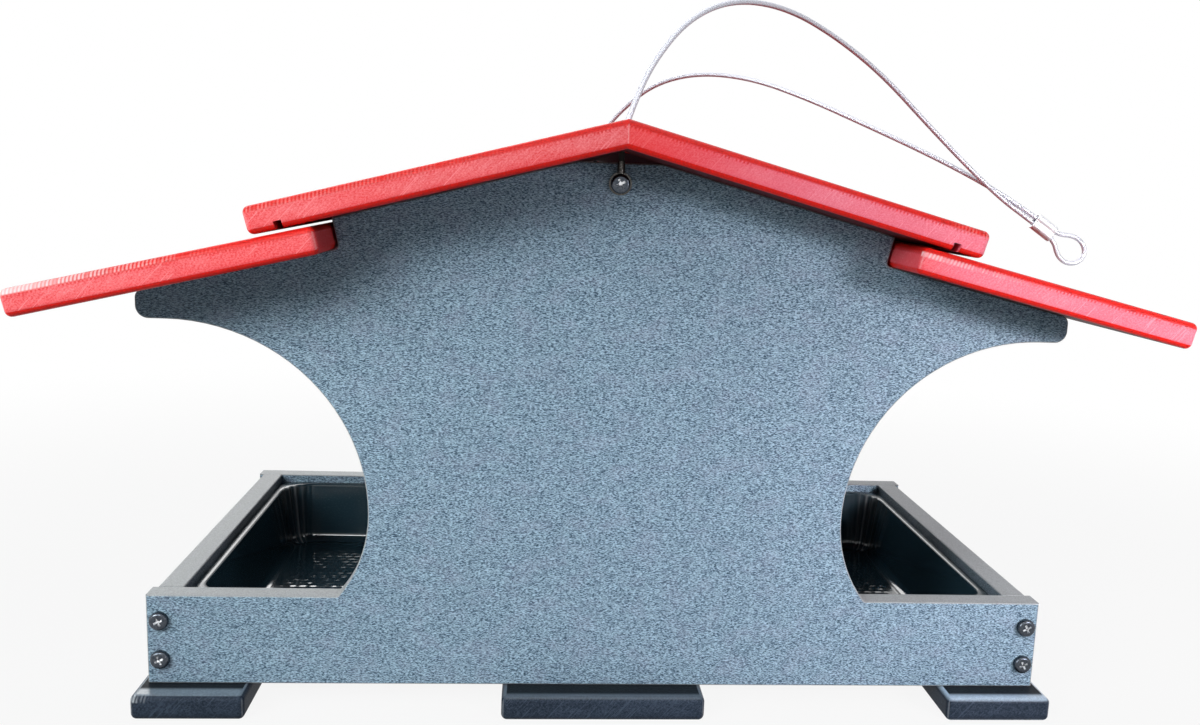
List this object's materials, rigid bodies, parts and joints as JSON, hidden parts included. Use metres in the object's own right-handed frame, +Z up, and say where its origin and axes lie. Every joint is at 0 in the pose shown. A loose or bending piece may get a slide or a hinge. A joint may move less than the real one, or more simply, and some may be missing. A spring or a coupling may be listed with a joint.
{
  "type": "fly-through bird feeder",
  "caption": "Covered fly-through tray feeder for garden birds: waisted grey gable panels, stepped red board roof, black runners, lift-out seed tray and a looped hanging cable.",
  "frame": {"origin": "middle of the footprint, on the plane under the runners", "axes": "+X to the right along the ridge's cross direction seen from the front, +Y to the back along the ridge, +Z up"},
  "size_m": [0.5682, 0.338, 0.3642],
  "materials": {
    "grey_sheet": "stippled sheet",
    "red_board": "fine grained sheet",
    "black_board": "fine grained sheet",
    "black_tray": "glossy moulded",
    "steel_screw": "plated",
    "terminal_steel": "tinned",
    "cable_vinyl": "clear jacket over wire",
    "ferrule_aluminium": "pressed"
  },
  "bodies": {
    "frame": {"front_panel": "grey_sheet", "back_panel": "grey_sheet", "left_end_rail": "grey_sheet", "right_end_rail": "grey_sheet", "upper_roof_left": "red_board", "upper_roof_right": "red_board", "lower_roof_left": "red_board", "lower_roof_right": "red_board", "left_runner": "black_board", "centre_runner": "black_board", "right_runner": "black_board", "corner_screws_front": "steel_screw", "corner_screws_back": "steel_screw", "upper_roof_screws_left": "steel_screw", "upper_roof_screws_right": "steel_screw", "lower_roof_screws_left": "steel_screw", "lower_roof_screws_right": "steel_screw", "left_runner_screws": "steel_screw", "centre_runner_screws": "steel_screw", "right_runner_screws": "steel_screw", "cable_terminal_front": "terminal_steel", "cable_terminal_back": "terminal_steel", "hanger_screw_front": "steel_screw", "hanger_screw_back": "steel_screw", "hanging_cable": "cable_vinyl", "cable_ferrule": "ferrule_aluminium"},
    "tray": {"seed_tray": "black_tray"}
  },
  "joints": [
    {"name": "tray_lift", "type": "slide", "parent": "frame", "child": "tray", "axis": [0, 0, 1], "range_m": [0, 0.06]}
  ]
}
